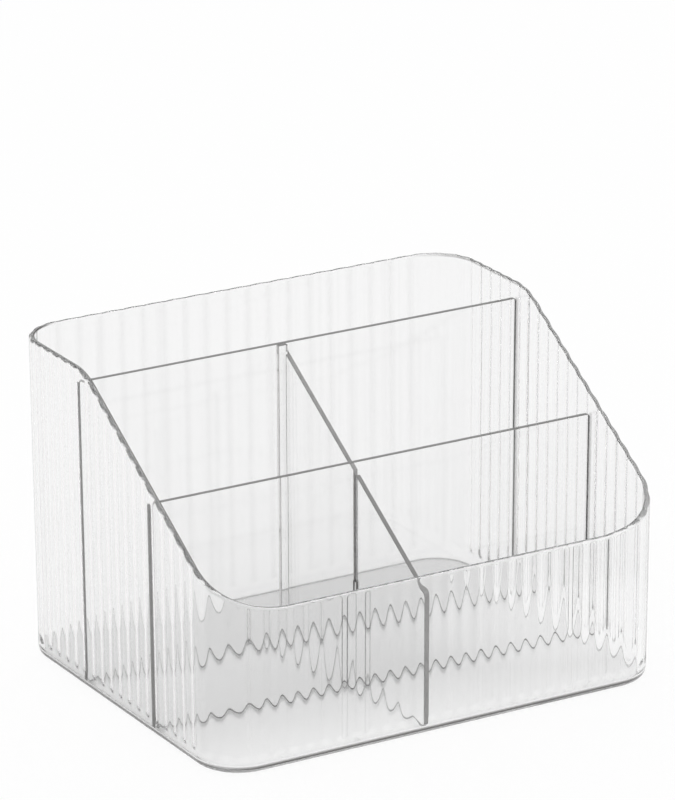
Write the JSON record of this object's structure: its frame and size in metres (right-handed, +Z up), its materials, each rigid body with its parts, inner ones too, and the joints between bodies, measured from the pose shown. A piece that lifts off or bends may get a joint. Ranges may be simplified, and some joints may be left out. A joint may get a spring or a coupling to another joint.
{
  "type": "divided organizer",
  "caption": "Clear fluted desktop organizer with rounded corners and a rim that slopes from a tall rear to a low front, divided into open bays by crossing plates.",
  "frame": {"origin": "middle of the bounding box's bottom, on the table under the floor of the tub", "axes": "+X along the width, to the right seen from the low front; +Y towards the tall rear wall; +Z up"},
  "size_m": [0.1922, 0.1554, 0.1267],
  "materials": {
    "clear_plastic": "clear gloss"
  },
  "bodies": {
    "root": {"fluted_tub": "clear_plastic", "rear_divider": "clear_plastic", "front_divider": "clear_plastic", "centre_divider": "clear_plastic"}
  },
  "joints": []
}
